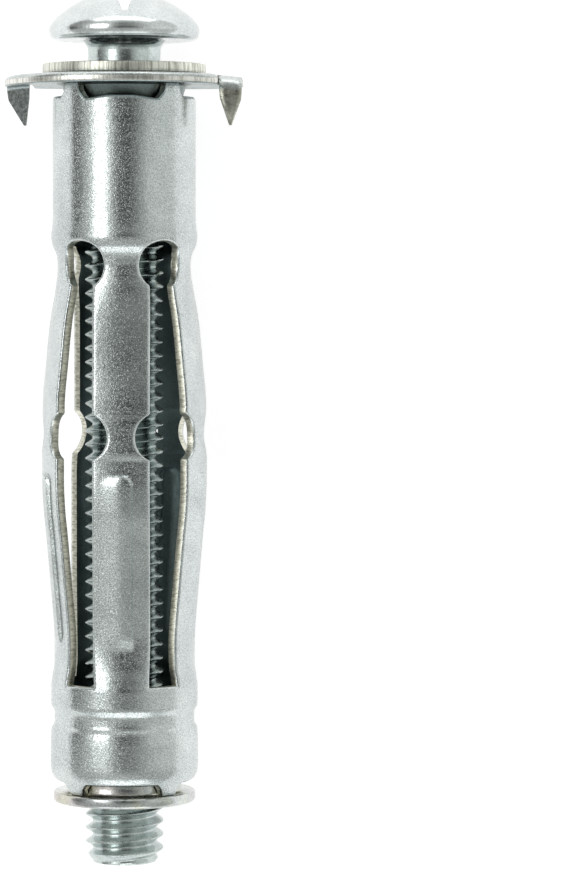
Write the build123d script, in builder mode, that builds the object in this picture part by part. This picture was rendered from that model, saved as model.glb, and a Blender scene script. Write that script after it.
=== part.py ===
from build123d import *
import os
from math import sin, cos, radians, pi

# Hollow wall anchor with its pan-head machine screw, lying on its side.
# Millimetres. The axis lies along Y with the head towards +Y; +Z is up.
# Origin: on the axis, in the plane of the claw plate's underside, the face
# that seats on the wall.

os.makedirs("parts", exist_ok=True)

# ---- screw (M4 x 0.7, right-hand; the fine thread is not cut here) ----
thread_major_r = 2.00
shank_r = 1.845
shank_end_y = -1.4          # plain neck under the head ends here
tip_y = -39.68
tip_r = 1.62
tip_chamfer = 0.75
head_under_y = 2.20
head_height = 2.50
head_r = 3.83
head_dome_r = 5.10
head_fillet_r = 0.40        # where the neck meets the head's underside
slot_floor_y = 3.57
slot_floor_w = 0.30
slot_top_w = 0.98
slot_turn_deg = 3.0         # the slot runs a little off the Z direction

# ---- washer ----
washer_r = 4.16
washer_hole_r = 2.45
washer_t = 0.48
washer_gap = 0.03

# ---- claw plate ----
plate_t = 0.50
plate_rx = 6.05
plate_rz = 5.10
plate_hole_r = 2.35
boss_r = 3.10
boss_depth = 0.90
tab_recess_r = 3.70         # shallow recess that takes the sleeve's tabs
tab_recess = 0.05
claw_slit_x = 4.77          # the slit that frees each claw
claw_in_x = 4.84
claw_out_x = 5.98
claw_fold_z = 0.30          # fold line, parallel to X
claw_bend_r = 0.20          # inside radius of the fold
claw_tip_y = -2.09
claw_tip_in_x = 5.22
claw_tip_out_x = 5.46

# ---- sleeve: one sheet rolled round, slotted into five legs ----
sheet_t = 0.45
leg_half_w = 1.475
seam_leg_half_w = 1.30      # the last leg, beside the seam, is narrower
seam_deg = -108.0
# legs and the middles of the slots between them, in degrees from +Z
legs = [(-148.0, seam_leg_half_w), (-72.0, leg_half_w), (0.0, leg_half_w),
        (72.0, leg_half_w), (144.0, leg_half_w)]
slots = [-108.0, -36.0, 36.0, 108.0, 180.0]
seam_gap = 0.12
slot_top_y = -9.16          # centre of the round slot tops
slot_top_r = 1.22
slot_bottom_y = -30.40
waist_y = -17.80            # notches that make each leg fold at mid length
waist_r = 1.247
waist_half_w = 0.71
seam_waist_half_w = 0.66
rib_half_w = 0.55
seam_rib_half_w = 0.46
rib_high = 0.17
rib_y0, rib_y1 = -28.60, -19.75
sleeve_top_y = -0.65
sleeve_foot_y = -35.42
tab_w = 0.95
nut_seat_y = -36.00
# outer surface, from the plate end to the nut end: (radius, y)
sleeve_outer = [
    (3.64, tab_recess), (3.64, -7.10), (3.72, -7.70), (3.66, -8.10), (3.42, -8.75),
    (3.40, -9.30), (3.52, -10.30), (3.80, -11.90), (4.02, -14.10),
    (4.20, -16.40), (4.10, -17.75), (4.24, -18.90), (4.24, -20.00),
    (4.18, -21.40), (4.05, -22.80), (3.82, -25.50), (3.62, -28.20),
    (3.60, -29.50), (3.75, -30.50), (3.75, -31.60), (3.57, -31.95),
    (3.57, -32.45), (3.75, -32.80), (3.78, -34.80), (3.70, -35.15),
    (3.46, -35.50), (3.37, -36.00),
]

# the last leg stays nearly straight instead of bowing out
seam_leg_outer = [
    (3.40, -9.30), (3.36, -13.00), (3.36, -16.90), (3.55, -18.50),
    (3.66, -20.00), (3.66, -25.00), (3.60, -29.50),
]

# ---- flange nut ----
nut_disc_r = 3.64
nut_disc_t = 0.55
nut_barrel_r = 2.90
nut_barrel_top_y = -33.0
nut_bore_r = 2.05


def around(r, deg):
    """Point of the X-Z plane at radius r, deg from +Z towards +X."""
    return (r * sin(radians(deg)), r * cos(radians(deg)))


def gap_between(leg_a, leg_b, half_a, half_b, reach=9.0):
    """Three corners of the wedge left free between two neighbouring legs of
    constant width, whose middles are at leg_a and leg_b degrees."""
    s = 1 if leg_b > leg_a else -1
    nax, naz = s * cos(radians(leg_a)), -s * sin(radians(leg_a))
    nbx, nbz = -s * cos(radians(leg_b)), s * sin(radians(leg_b))
    det = nax * nbz - naz * nbx
    px = (half_a * nbz - naz * half_b) / det
    pz = (nax * half_b - half_a * nbx) / det
    ax, az = around(reach, leg_a)
    bx, bz = around(reach, leg_b)
    return [(px, pz), (px + ax, pz + az), (px + bx, pz + bz)]


# ======================= screw =======================
head_top_y = head_under_y + head_height
dome_c = head_top_y - head_dome_r
dome_end_r = 3.42
dome_end_y = dome_c + (head_dome_r ** 2 - dome_end_r ** 2) ** 0.5
dome_mid_r = 1.80
dome_mid_y = dome_c + (head_dome_r ** 2 - dome_mid_r ** 2) ** 0.5
with BuildPart() as screw:
    with BuildSketch(Plane.XY) as screw_profile:
        with BuildLine():
            Polyline((0, head_top_y), (0, tip_y), (tip_r, tip_y),
                     (thread_major_r, tip_y + tip_chamfer),
                     (thread_major_r, shank_end_y - 0.3),
                     (shank_r, shank_end_y),
                     (shank_r, head_under_y - head_fillet_r))
            ThreePointArc((shank_r, head_under_y - head_fillet_r),
                          (shank_r + head_fillet_r * (1 - cos(pi / 4)),
                           head_under_y - head_fillet_r * (1 - sin(pi / 4))),
                          (shank_r + head_fillet_r, head_under_y))
            Line((shank_r + head_fillet_r, head_under_y), (3.45, head_under_y))
            ThreePointArc((3.45, head_under_y), (3.73, head_under_y + 0.22),
                          (head_r, head_under_y + 0.60))
            ThreePointArc((head_r, head_under_y + 0.60),
                          (3.73, head_under_y + 0.98),
                          (dome_end_r, dome_end_y))
            ThreePointArc((dome_end_r, dome_end_y), (dome_mid_r, dome_mid_y),
                          (0, head_top_y))
        make_face()
    revolve(axis=Axis.Y)
    # driving slot across the head
    slot_plane = Plane(origin=(0, 0, 0),
                       x_dir=(cos(radians(slot_turn_deg)), 0, -sin(radians(slot_turn_deg))),
                       z_dir=(sin(radians(slot_turn_deg)), 0, cos(radians(slot_turn_deg))))
    with BuildSketch(slot_plane) as slot_profile:
        with BuildLine():
            Polyline((-slot_floor_w / 2, slot_floor_y), (slot_floor_w / 2, slot_floor_y),
                     (slot_top_w / 2, head_top_y), (slot_top_w / 2, head_top_y + 1),
                     (-slot_top_w / 2, head_top_y + 1), (-slot_top_w / 2, head_top_y),
                     close=True)
        make_face()
    extrude(amount=6, both=True, mode=Mode.SUBTRACT)
screw.part.label = "screw"
export_step(screw.part, "parts/screw.step")

# ======================= washer =======================
washer_y0 = plate_t + washer_gap
with BuildPart() as washer:
    with BuildSketch(Plane.XZ.offset(-washer_y0 - washer_t)):
        Circle(washer_r)
        Circle(washer_hole_r, mode=Mode.SUBTRACT)
    extrude(amount=washer_t)
    chamfer(washer.edges().filter_by(GeomType.CIRCLE).sort_by(SortBy.RADIUS)[-2:], length=0.06)
washer.part.label = "washer"
export_step(washer.part, "parts/washer.step")

# ======================= claw plate =======================
with BuildPart() as claw_plate:
    with BuildSketch(Plane.XZ.offset(-plate_t)):
        Ellipse(plate_rx, plate_rz)
        # the part of the rim that each claw was folded from
        with Locations((claw_slit_x + 2, claw_fold_z + 3),
                       (-claw_slit_x - 2, -claw_fold_z - 3)):
            Rectangle(4, 6, mode=Mode.SUBTRACT)
        # the slit runs on a little behind the fold
        with Locations(((claw_slit_x + claw_in_x) / 2, claw_fold_z),
                       (-(claw_slit_x + claw_in_x) / 2, -claw_fold_z)):
            Rectangle(claw_in_x - claw_slit_x, 0.8, mode=Mode.SUBTRACT)
        Circle(plate_hole_r, mode=Mode.SUBTRACT)
    extrude(amount=plate_t)
    # recess in the underside that the sleeve's four tabs are staked into
    with BuildSketch(Plane.XZ):
        Circle(tab_recess_r)
    extrude(amount=-tab_recess, mode=Mode.SUBTRACT)
    # boss pressed down round the hole; it centres the plate in the tube
    with BuildSketch(Plane.XZ.offset(-tab_recess)):
        Circle(boss_r)
        Circle(plate_hole_r, mode=Mode.SUBTRACT)
    extrude(amount=boss_depth + tab_recess)
    # the two folds
    bend_out = claw_bend_r + plate_t
    for side in (1, -1):
        bend_from = claw_in_x if side > 0 else -claw_out_x
        with BuildSketch(Plane.YZ.offset(bend_from)):
            with Locations((-claw_bend_r, side * claw_fold_z)):
                Circle(bend_out)
                Circle(claw_bend_r, mode=Mode.SUBTRACT)
            with Locations((-claw_bend_r + bend_out / 2,
                            side * (claw_fold_z + bend_out / 2))):
                Rectangle(bend_out, bend_out, mode=Mode.INTERSECT)
        extrude(amount=claw_out_x - claw_in_x)
        # the pointed claw below each fold
        flap_z0 = (claw_fold_z + claw_bend_r) if side > 0 else -(claw_fold_z + bend_out)
        with BuildSketch(Plane.XY.offset(flap_z0)):
            with BuildLine():
                Polyline((side * claw_in_x, -claw_bend_r),
                         (side * claw_out_x, -claw_bend_r),
                         (side * claw_tip_out_x, claw_tip_y),
                         (side * claw_tip_in_x, claw_tip_y), close=True)
            make_face()
        extrude(amount=plate_t)
claw_plate.part.label = "claw_plate"
export_step(claw_plate.part, "parts/claw_plate.step")

# ======================= sleeve =======================
def radius_at(line, y):
    """Radius of a profile line at y."""
    for (r0, y0), (r1, y1) in zip(line, line[1:]):
        if y1 <= y <= y0:
            return r0 + (r1 - r0) * (y - y0) / (y1 - y0)
    return line[-1][0]


def rib_outline(line):
    """Closed outline, in the X-Y plane, of the stock for a raised rib."""
    ends = [(radius_at(line, rib_y1), rib_y1)]
    ends += [(r, y) for r, y in line if rib_y0 < y < rib_y1]
    ends += [(radius_at(line, rib_y0), rib_y0)]
    last = len(ends) - 1
    inner = [(r - 0.15, y) for r, y in ends]
    outer = [(r - rib_high, y) if i in (0, last) else (r, y) for i, (r, y) in enumerate(ends)]
    return inner + [(r + rib_high, y) for r, y in reversed(outer)]


# raised ribs pressed into the lower half of each leg
ribs = []
for line, rib_legs in ((sleeve_outer, [(a, rib_half_w) for a, w in legs[1:]]),
                       (seam_leg_outer, [(legs[0][0], seam_rib_half_w)])):
    with BuildPart() as rib_stock:
        with BuildSketch(Plane.XY):
            with BuildLine():
                Polyline(*rib_outline(line), close=True)
            make_face()
        revolve(axis=Axis.Y)
        with BuildSketch(Plane.XZ.offset(-rib_y1 - 1)):
            for a, half in rib_legs:
                with BuildLine():
                    cx, cz = half * cos(radians(a)), -half * sin(radians(a))
                    near = around(2.0, a)
                    far = around(7.0, a)
                    Polyline((near[0] - cx, near[1] - cz), (near[0] + cx, near[1] + cz),
                             (far[0] + cx, far[1] + cz), (far[0] - cx, far[1] - cz),
                             close=True)
                make_face()
        extrude(amount=rib_y1 - rib_y0 + 2, mode=Mode.INTERSECT)
    ribs.append(rib_stock.part)

sector_y1, sector_y0 = seam_leg_outer[0][1], seam_leg_outer[-1][1]
sector = [(0, 0), around(11, slots[4]), around(14, -144.0), around(11, slots[0])]

# straight stock of the last leg
with BuildPart() as seam_leg:
    with BuildSketch(Plane.XY):
        with BuildLine():
            Polyline(*seam_leg_outer, *[(r - sheet_t, y) for r, y in reversed(seam_leg_outer)],
                     close=True)
        make_face()
    revolve(axis=Axis.Y)
    with BuildSketch(Plane.XZ.offset(-sector_y1 - 1)):
        with BuildLine():
            Polyline(*sector, close=True)
        make_face()
    extrude(amount=sector_y1 - sector_y0 + 2, mode=Mode.INTERSECT)

sleeve_inner = [(r - sheet_t, y) for r, y in sleeve_outer]
with BuildPart() as sleeve:
    with BuildSketch(Plane.XY):
        with BuildLine():
            Polyline(*sleeve_outer, *reversed(sleeve_inner), close=True)
        make_face()
    revolve(axis=Axis.Y)
    with BuildSketch(Plane.XZ.offset(-sector_y1)):
        with BuildLine():
            Polyline(*sector, close=True)
        make_face()
    extrude(amount=sector_y1 - sector_y0, mode=Mode.SUBTRACT)
    add(seam_leg.part)
    # long slots between the legs
    for k, mid in enumerate(slots):
        a, half_a = legs[k]
        b, half_b = legs[(k + 1) % 5]
        if b < a:
            b += 360.0
        with BuildSketch(Plane.XZ.offset(-slot_top_y)):
            with BuildLine():
                Polyline(*gap_between(a, b, half_a, half_b), close=True)
            make_face()
        extrude(amount=slot_top_y - slot_bottom_y, mode=Mode.SUBTRACT)
        # round top of the slot
        out = around(1, mid)
        with BuildSketch(Plane(origin=(0, slot_top_y, 0), x_dir=(0, 1, 0),
                               z_dir=(out[0], 0, out[1]))):
            Circle(slot_top_r)
        extrude(amount=6, mode=Mode.SUBTRACT)
        # waist notches of the leg, square to the leg's face
        out = around(1, a)
        waist = (seam_waist_half_w if k == 0 else waist_half_w) + waist_r
        with BuildSketch(Plane(origin=(0, waist_y, 0), x_dir=(0, 1, 0),
                               z_dir=(out[0], 0, out[1]))):
            with Locations((0, waist), (0, -waist)):
                Circle(waist_r)
        extrude(amount=6, mode=Mode.SUBTRACT)
    # four tabs reach up to the plate and four down to the nut
    for y_start, length in ((0.1, 0.1 - sleeve_top_y),
                            (sleeve_foot_y, sleeve_foot_y - nut_seat_y + 0.1)):
        with BuildSketch(Plane.XZ.offset(-y_start)):
            Circle(6)
            with Locations(Location((0, 0), 45), Location((0, 0), -45)):
                Rectangle(14, tab_w, mode=Mode.SUBTRACT)
        extrude(amount=length, mode=Mode.SUBTRACT)
    for one in ribs:
        add(one)
    # butt seam of the rolled sheet
    with BuildSketch(Plane.XZ.offset(-0.1)):
        with BuildLine():
            cx, cz = cos(radians(seam_deg)), -sin(radians(seam_deg))
            near = around(2.0, seam_deg)
            far = around(6.0, seam_deg)
            g = seam_gap / 2
            Polyline((near[0] - g * cx, near[1] - g * cz), (near[0] + g * cx, near[1] + g * cz),
                     (far[0] + g * cx, far[1] + g * cz), (far[0] - g * cx, far[1] - g * cz),
                     close=True)
        make_face()
    extrude(amount=0.2 - nut_seat_y, mode=Mode.SUBTRACT)
sleeve.part.label = "sleeve"
export_step(sleeve.part, "parts/sleeve.step")

# ======================= flange nut =======================
with BuildPart() as flange_nut:
    with BuildSketch(Plane.XY):
        with BuildLine():
            Polyline((nut_bore_r, nut_seat_y - nut_disc_t),
                     (nut_disc_r - 0.08, nut_seat_y - nut_disc_t),
                     (nut_disc_r, nut_seat_y - nut_disc_t + 0.08),
                     (nut_disc_r, nut_seat_y - 0.08),
                     (nut_disc_r - 0.08, nut_seat_y),
                     (nut_barrel_r, nut_seat_y),
                     (nut_barrel_r, nut_barrel_top_y - 0.2),
                     (nut_barrel_r - 0.2, nut_barrel_top_y),
                     (nut_bore_r + 0.2, nut_barrel_top_y),
                     (nut_bore_r, nut_barrel_top_y - 0.2), close=True)
        make_face()
    revolve(axis=Axis.Y)
flange_nut.part.label = "flange_nut"
export_step(flange_nut.part, "parts/flange_nut.step")
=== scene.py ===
import bpy
import math
from math import sin, cos, pi, radians, sqrt, asin, atan2
from mathutils import Vector, Matrix


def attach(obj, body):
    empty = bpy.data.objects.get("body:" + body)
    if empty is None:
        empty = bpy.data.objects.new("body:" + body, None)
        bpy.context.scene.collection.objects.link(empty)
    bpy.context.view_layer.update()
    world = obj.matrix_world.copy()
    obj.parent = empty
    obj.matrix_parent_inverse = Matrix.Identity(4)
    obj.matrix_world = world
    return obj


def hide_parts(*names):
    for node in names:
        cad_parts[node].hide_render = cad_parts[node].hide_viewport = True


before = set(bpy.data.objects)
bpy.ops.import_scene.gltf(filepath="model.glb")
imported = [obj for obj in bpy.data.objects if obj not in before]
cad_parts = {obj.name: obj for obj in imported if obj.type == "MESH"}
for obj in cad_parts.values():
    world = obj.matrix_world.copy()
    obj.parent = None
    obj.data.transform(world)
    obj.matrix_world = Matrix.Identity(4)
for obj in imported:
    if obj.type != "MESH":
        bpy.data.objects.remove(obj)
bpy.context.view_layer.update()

# Lengths below are in millimetres and are scaled to metres as meshes are made.
# The anchor's axis is Y, the head is towards +Y, and angles round the axis are
# measured from +Z towards +X.
MM = 0.001


# ---------------------------------------------------------------- helpers
def lerp(a, b, t):
    return a + (b - a) * t


def clamp(x, a=0.0, b=1.0):
    return a if x < a else b if x > b else x


def smooth(x, a, b):
    t = clamp((x - a) / (b - a))
    return t * t * (3 - 2 * t)


def table(points, y):
    """Smooth (monotone cubic) value at y of a table of (y, value), y falling."""
    if y >= points[0][0]:
        return points[0][1]
    if y <= points[-1][0]:
        return points[-1][1]
    n = len(points)
    for i in range(n - 1):
        y0, v0 = points[i]
        y1, v1 = points[i + 1]
        if y1 <= y <= y0:
            h = y1 - y0
            d = (v1 - v0) / h

            def slope(j):
                if j <= 0 or j >= n - 1:
                    return 0.0
                a = (points[j][1] - points[j - 1][1]) / (points[j][0] - points[j - 1][0])
                b = (points[j + 1][1] - points[j][1]) / (points[j + 1][0] - points[j][0])
                if a * b <= 0:
                    return 0.0
                return 2 * a * b / (a + b)
            m0, m1 = slope(i), slope(i + 1)
            t = (y - y0) / h
            t2, t3 = t * t, t * t * t
            return ((2 * t3 - 3 * t2 + 1) * v0 + (t3 - 2 * t2 + t) * h * m0
                    + (-2 * t3 + 3 * t2) * v1 + (t3 - t2) * h * m1)
    return points[-1][1]


def hash01(i):
    x = sin(i * 127.1 + 11.7) * 43758.5453
    return x - math.floor(x)


def wobble(x, seed=0.0):
    """Small smooth noise of one variable, about -1 to 1."""
    i = math.floor(x)
    f = x - i
    f = f * f * (3 - 2 * f)
    return 2 * lerp(hash01(i + seed * 57.3), hash01(i + 1 + seed * 57.3), f) - 1


def make_object(name, verts, faces, mats, face_mat=None, smooth_faces=None):
    mesh = bpy.data.meshes.new(name)
    mesh.from_pydata([(v[0] * MM, v[1] * MM, v[2] * MM) for v in verts], [], faces)
    for m in mats:
        mesh.materials.append(m)
    if face_mat:
        mesh.polygons.foreach_set("material_index", face_mat)
    if smooth_faces is None:
        mesh.polygons.foreach_set("use_smooth", [True] * len(faces))
    else:
        mesh.polygons.foreach_set("use_smooth", smooth_faces)
    mesh.update()
    mesh.validate()
    ob = bpy.data.objects.new(name, mesh)
    bpy.context.scene.collection.objects.link(ob)
    return ob


def sheet_solid(name, top, bot, faces, mats, steps=3, bulge=0.02, seed=0.0, inner=0):
    """Closed solid from one sheet: faces index both the outer points (top)
    and the inner points (bot); open edges get a wall with a slight bulge."""
    n = len(top)
    verts = list(top) + list(bot)
    out = []
    fmat = []
    edges = {}
    for f in faces:
        out.append(tuple(f))
        fmat.append(0)
        out.append(tuple(i + n for i in reversed(f)))
        fmat.append(inner)
        m = len(f)
        for k in range(m):
            a, b = f[k], f[(k + 1) % m]
            edges[(a, b)] = edges.get((a, b), 0) + 1
    rim = [(a, b) for (a, b) in edges if (b, a) not in edges]
    nxt = {}
    prv = {}
    for a, b in rim:
        nxt[a] = b
        prv[b] = a
    mids = {}

    def mid(i, k):
        if k == 0:
            return i
        if k == steps:
            return i + n
        if (i, k) in mids:
            return mids[(i, k)]
        t = k / steps
        p, q = Vector(top[i]), Vector(bot[i])
        a, b = Vector(top[prv.get(i, i)]), Vector(top[nxt.get(i, i)])
        along = b - a
        if along.length < 1e-9:
            along = Vector((0, 1, 0))
        outw = along.cross(p - q)
        if outw.length > 1e-9:
            outw.normalize()
        else:
            outw = Vector((0, 0, 0))
        amt = bulge * 4 * t * (1 - t) * (0.7 + 0.5 * wobble(i * 0.37 + k * 3.1, seed))
        pos = p.lerp(q, t) + outw * amt
        verts.append(tuple(pos))
        mids[(i, k)] = len(verts) - 1
        return mids[(i, k)]
    for a, b in rim:
        for k in range(steps):
            out.append((mid(b, k), mid(a, k), mid(a, k + 1), mid(b, k + 1)))
            fmat.append(1 if len(mats) > 1 else 0)
    return make_object(name, verts, out, mats, fmat)


def weighted(ob, angle=38.0):
    """Sharp edges over the angle, smooth elsewhere."""
    mesh = ob.data
    import bmesh
    bm = bmesh.new()
    bm.from_mesh(mesh)
    bmesh.ops.recalc_face_normals(bm, faces=bm.faces)
    lim = radians(angle)
    for e in bm.edges:
        if len(e.link_faces) == 2:
            e.smooth = e.calc_face_angle(0.0) < lim
    bm.to_mesh(mesh)
    bm.free()


# ---------------------------------------------------------------- materials
def plated(name, base, dark, rough=0.3, grain=0.05, grain_size=0.085, sparkle=0.5,
           tint=None, streak=0.0, bump=0.35, patches=0.4, specks=0.0):
    """Bright zinc plate: fine sparkling grain, slow cloudy patches of tone,
    and a little long streaking along the axis."""
    mat = bpy.data.materials.new(name)
    mat.use_nodes = True
    nt = mat.node_tree
    nt.nodes.clear()
    out = nt.nodes.new("ShaderNodeOutputMaterial")
    bsdf = nt.nodes.new("ShaderNodeBsdfPrincipled")
    nt.links.new(bsdf.outputs[0], out.inputs[0])
    bsdf.inputs["Metallic"].default_value = 1.0
    tc = nt.nodes.new("ShaderNodeTexCoord")

    def noise(size_mm, detail=2.0, rough_=0.55, stretch=None, dist=0.0):
        n = nt.nodes.new("ShaderNodeTexNoise")
        n.inputs["Scale"].default_value = 1.0
        n.inputs["Detail"].default_value = detail
        n.inputs["Roughness"].default_value = rough_
        n.inputs["Distortion"].default_value = dist
        mp = nt.nodes.new("ShaderNodeMapping")
        s = 1000.0 / size_mm
        st = stretch or (1, 1, 1)
        mp.inputs["Scale"].default_value = (s * st[0], s * st[1], s * st[2])
        nt.links.new(tc.outputs["Object"], mp.inputs["Vector"])
        nt.links.new(mp.outputs[0], n.inputs["Vector"])
        return n

    fine = noise(grain_size, 1.0, 0.6)
    coarse = noise(grain_size * 2.6, 2.0, 0.6)
    cloud = noise(2.4, 3.0, 0.55, dist=0.4)
    # tone
    ramp = nt.nodes.new("ShaderNodeValToRGB")
    ramp.color_ramp.elements[0].position = 0.32
    ramp.color_ramp.elements[0].color = (*dark, 1)
    ramp.color_ramp.elements[1].position = 0.68
    ramp.color_ramp.elements[1].color = (*base, 1)
    addn = nt.nodes.new("ShaderNodeMath")
    addn.operation = "MULTIPLY_ADD"
    addn.inputs[1].default_value = sparkle
    nt.links.new(fine.outputs["Fac"], addn.inputs[0])
    half = nt.nodes.new("ShaderNodeMath")
    half.operation = "MULTIPLY"
    half.inputs[1].default_value = 1.0 - sparkle
    nt.links.new(cloud.outputs["Fac"], half.inputs[0])
    nt.links.new(half.outputs[0], addn.inputs[2])
    nt.links.new(addn.outputs[0], ramp.inputs["Fac"])
    last = ramp.outputs["Color"]
    if tint is not None:
        tn = noise(3.1, 2.0, 0.6, dist=0.8)
        tramp = nt.nodes.new("ShaderNodeValToRGB")
        els = tramp.color_ramp.elements
        els[0].position = 0.30
        els[0].color = (*tint[0], 1)
        els[1].position = 0.72
        els[1].color = (*tint[-1], 1)
        for i, c in enumerate(tint[1:-1]):
            e = els.new(0.30 + 0.42 * (i + 1) / (len(tint) - 1))
            e.color = (*c, 1)
        nt.links.new(tn.outputs["Fac"], tramp.inputs["Fac"])
        mul = nt.nodes.new("ShaderNodeMix")
        mul.data_type = "RGBA"
        mul.blend_type = "MULTIPLY"
        mul.inputs[0].default_value = 1.0
        nt.links.new(last, mul.inputs[6])
        nt.links.new(tramp.outputs["Color"], mul.inputs[7])
        last = mul.outputs[2]
    nt.links.new(last, bsdf.inputs["Base Color"])
    # roughness, cloudy and grainy
    rr = nt.nodes.new("ShaderNodeMapRange")
    rr.inputs["From Min"].default_value = 0.3
    rr.inputs["From Max"].default_value = 0.7
    rr.inputs["To Min"].default_value = max(0.05, rough - 0.10 * patches * 2)
    rr.inputs["To Max"].default_value = rough + 0.10 * patches * 2
    nt.links.new(coarse.outputs["Fac"], rr.inputs["Value"])
    nt.links.new(rr.outputs[0], bsdf.inputs["Roughness"])
    # grain relief
    hsum = nt.nodes.new("ShaderNodeMath")
    hsum.operation = "MULTIPLY_ADD"
    hsum.inputs[1].default_value = 0.55
    nt.links.new(fine.outputs["Fac"], hsum.inputs[0])
    nt.links.new(coarse.outputs["Fac"], hsum.inputs[2])
    hlast = hsum.outputs[0]
    if specks:
        sn = noise(grain_size * 0.8, 1.0, 0.5)
        sm = nt.nodes.new("ShaderNodeMapRange")
        sm.inputs["From Min"].default_value = 0.56
        sm.inputs["From Max"].default_value = 0.74
        nt.links.new(sn.outputs["Fac"], sm.inputs["Value"])
        s3 = nt.nodes.new("ShaderNodeMath")
        s3.operation = "MULTIPLY_ADD"
        s3.inputs[1].default_value = specks
        nt.links.new(sm.outputs[0], s3.inputs[0])
        nt.links.new(hlast, s3.inputs[2])
        hlast = s3.outputs[0]
    if streak:
        st = noise(0.10, 2.0, 0.6, stretch=(1, 0.05, 1))
        s2 = nt.nodes.new("ShaderNodeMath")
        s2.operation = "MULTIPLY_ADD"
        s2.inputs[1].default_value = streak
        nt.links.new(st.outputs["Fac"], s2.inputs[0])
        nt.links.new(hlast, s2.inputs[2])
        hlast = s2.outputs[0]
    bp = nt.nodes.new("ShaderNodeBump")
    bp.inputs["Strength"].default_value = bump
    bp.inputs["Distance"].default_value = grain * MM
    nt.links.new(hlast, bp.inputs["Height"])
    nt.links.new(bp.outputs[0], bsdf.inputs["Normal"])
    return mat


def sheared(name, base, dark, along=(1, 0.06, 1), size=0.16, rough=0.42, bump=0.7):
    """Cut edge of the sheet: drawn striations across the thickness, with dark
    scores and a warmer tone."""
    mat = bpy.data.materials.new(name)
    mat.use_nodes = True
    nt = mat.node_tree
    nt.nodes.clear()
    out = nt.nodes.new("ShaderNodeOutputMaterial")
    bsdf = nt.nodes.new("ShaderNodeBsdfPrincipled")
    nt.links.new(bsdf.outputs[0], out.inputs[0])
    bsdf.inputs["Metallic"].default_value = 1.0
    bsdf.inputs["Roughness"].default_value = rough
    tc = nt.nodes.new("ShaderNodeTexCoord")
    mp = nt.nodes.new("ShaderNodeMapping")
    s = 1000.0 / size
    mp.inputs["Scale"].default_value = (s * along[0], s * along[1], s * along[2])
    nt.links.new(tc.outputs["Object"], mp.inputs["Vector"])
    n = nt.nodes.new("ShaderNodeTexNoise")
    n.inputs["Scale"].default_value = 1.0
    n.inputs["Detail"].default_value = 3.0
    n.inputs["Roughness"].default_value = 0.6
    nt.links.new(mp.outputs[0], n.inputs["Vector"])
    ramp = nt.nodes.new("ShaderNodeValToRGB")
    ramp.color_ramp.elements[0].position = 0.36
    ramp.color_ramp.elements[0].color = (*dark, 1)
    ramp.color_ramp.elements[1].position = 0.56
    ramp.color_ramp.elements[1].color = (*base, 1)
    nt.links.new(n.outputs["Fac"], ramp.inputs["Fac"])
    nt.links.new(ramp.outputs["Color"], bsdf.inputs["Base Color"])
    bp = nt.nodes.new("ShaderNodeBump")
    bp.inputs["Strength"].default_value = bump
    bp.inputs["Distance"].default_value = 0.03 * MM
    nt.links.new(n.outputs["Fac"], bp.inputs["Height"])
    nt.links.new(bp.outputs[0], bsdf.inputs["Normal"])
    return mat


m_sleeve = plated("zinc_sleeve", (0.73, 0.775, 0.77), (0.36, 0.39, 0.395), rough=0.17,
                  grain=0.015, grain_size=0.068, sparkle=0.66, bump=0.46, streak=0.12,
                  patches=0.3, specks=0.78)
# painted shade: the sleeve's inner faces get a dark teal copy of the plating, standing in for the shade inside the
# tube
m_inside_painted_shade = plated("zinc_inside_painted_shade", (0.15, 0.205, 0.205), (0.075, 0.105, 0.108), rough=0.38,
                  grain=0.012, grain_size=0.10, sparkle=0.4, bump=0.3)
m_edge = sheared("cut_edge", (0.78, 0.77, 0.67), (0.40, 0.395, 0.33),
                 along=(0.30, 1.0, 0.30), size=0.10, rough=0.36, bump=0.5)
m_screw = plated("zinc_screw", (0.66, 0.72, 0.71), (0.38, 0.43, 0.425), rough=0.22,
                 grain=0.012, grain_size=0.09, sparkle=0.45, bump=0.5)
m_head = plated("zinc_head", (0.76, 0.79, 0.79), (0.50, 0.53, 0.54), rough=0.17,
                grain=0.012, grain_size=0.10, sparkle=0.45, bump=0.4)
m_plate = plated("zinc_plate_face", (0.72, 0.75, 0.74), (0.38, 0.41, 0.405), rough=0.24,
                 grain=0.018, grain_size=0.085, sparkle=0.55, bump=0.5)
# painted shade: a darker copy of the screw's plating for the stretch of thread inside the sleeve
m_thread_painted_shade = plated("zinc_thread_painted_shade", (0.40, 0.47, 0.46), (0.20, 0.25, 0.245), rough=0.25,
                  grain=0.012, grain_size=0.09, sparkle=0.45, bump=0.5)
# the coarser grain of the folded claws' faces is their own; the darker olive tone is painted shade
m_claw_partly_painted_shade = plated("claw_face_partly_painted_shade", (0.62, 0.61, 0.54), (0.27, 0.27, 0.22), rough=0.30,
                grain=0.030, grain_size=0.16, sparkle=0.6, bump=0.7)
# painted shade: a dark copy of the plating for the pressed boss's underside, which sits in shade between plate and
# tube
m_boss_painted_shade = plated("zinc_boss_painted_shade", (0.24, 0.285, 0.285), (0.12, 0.15, 0.15), rough=0.34,
                grain=0.014, grain_size=0.09, sparkle=0.5, bump=0.4)
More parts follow.
